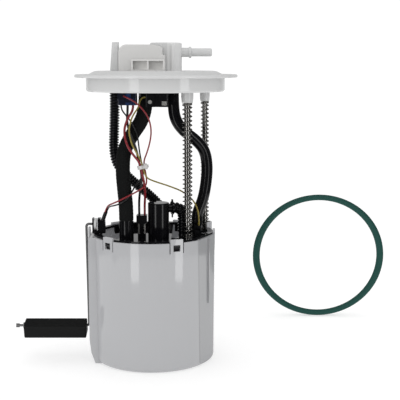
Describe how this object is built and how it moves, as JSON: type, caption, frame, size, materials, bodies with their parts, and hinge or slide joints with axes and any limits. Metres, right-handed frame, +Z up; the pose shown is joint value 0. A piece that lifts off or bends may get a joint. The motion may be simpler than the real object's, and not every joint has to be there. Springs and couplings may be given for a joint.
{
  "type": "fuel pump module",
  "caption": "Tank fuel pump module: a flange with outlet spigot and hood on sprung guide rods over a round reservoir, with a float arm at its side and a loose seal ring.",
  "frame": {"origin": "middle of the reservoir's base, on the floor it stands on", "axes": "+Z up towards the flange, +X along the outlet spigot, -Y the side with the hood's two pockets"},
  "size_m": [0.3974, 0.2327, 0.313],
  "materials": {
    "white_plastic": "satin moulded",
    "grey_plastic": "satin moulded",
    "black_plastic": "satin moulded",
    "black_hose": "gloss",
    "black_sleeve": "matt",
    "black_rubber": "matt",
    "green_rubber": "satin",
    "pump_steel": "brushed",
    "pump_alloy": "cast",
    "spring_steel": "bright",
    "rod_steel": "ground",
    "contact": "tinned",
    "copper": "turned",
    "magnet": "dull",
    "carbon": "dull",
    "ceramic": "matt",
    "mesh": "woven",
    "blue_plastic": "satin moulded",
    "red_wire": "gloss",
    "black_wire": "gloss",
    "yellow_wire": "gloss",
    "float_black": "matt"
  },
  "bodies": {
    "reservoir": {"reservoir": "grey_plastic", "carrier": "black_plastic", "baffle": "black_plastic", "rod_bushes": "black_plastic", "outlet_mast": "black_plastic", "mast_cap": "black_plastic", "jumper_hose": "black_hose", "jumper_clamp": "black_plastic", "sleeve_fitting": "black_plastic", "pump_can": "pump_steel", "pump_end_cap": "black_plastic", "pump_plate": "pump_alloy", "pump_inlet": "pump_alloy", "pump_magnets": "magnet", "pump_brushes": "carbon", "isolator_ring": "black_rubber", "isolator_base": "black_rubber", "strainer_frame": "white_plastic", "strainer": "mesh", "foot_valve": "black_rubber", "jet_pump": "black_plastic", "pressure_regulator": "pump_steel", "pump_plug": "black_plastic", "plug_blades": "contact", "carrier_connector": "black_plastic", "sender_frame": "black_plastic", "sender_card": "ceramic", "sender_boots": "black_rubber", "seal_ring": "green_rubber", "spring_front": "spring_steel", "spring_rear": "spring_steel", "sleeve_hose": "black_sleeve", "corrugated_hose": "black_hose", "s_hose": "black_hose", "wire_red_pump": "red_wire", "wire_black_pump": "black_wire", "wire_red_sender": "red_wire", "wire_black_sender": "black_wire", "wire_yellow": "yellow_wire", "cable_tie": "white_plastic"},
    "flange": {"flange_cover": "white_plastic", "connector_hood": "white_plastic", "hood_pins": "contact", "blue_plug": "blue_plastic", "black_plug": "black_plastic", "plug_contacts": "contact", "guide_rods": "rod_steel", "rod_clips": "spring_steel"},
    "pump_rotor": {"rotor_shaft": "rod_steel", "armature": "magnet", "commutator": "copper", "impeller": "black_plastic"},
    "float_arm": {"float_arm": "rod_steel", "arm_hub": "white_plastic", "wiper": "contact", "float_clip": "rod_steel"},
    "float": {"float": "float_black"}
  },
  "joints": [
    {"name": "flange_travel", "type": "slide", "parent": "reservoir", "child": "flange", "axis": [0, 0, -1], "range_m": [0, 0.045], "stiffness_N_per_m": 250, "springref_m": -0.06, "deforming": ["spring_front", "spring_rear", "sleeve_hose", "corrugated_hose", "s_hose", "wire_red_pump", "wire_black_pump", "wire_red_sender", "wire_black_sender", "wire_yellow", "cable_tie"]},
    {"name": "pump_spin", "type": "hinge", "parent": "reservoir", "child": "pump_rotor", "pos_m": [0.0057, -0.01, 0.06], "axis": [0, 0, 1], "continuous": true},
    {"name": "sender_swing", "type": "hinge", "parent": "reservoir", "child": "float_arm", "pos_m": [-0.058, -0.01, 0.1364], "axis": [1, 0, 0], "range_deg": [-5, 100]},
    {"name": "float_spin", "type": "hinge", "parent": "float_arm", "child": "float", "pos_m": [-0.098, -0.01, 0.0334], "axis": [1, 0, 0], "continuous": true}
  ]
}
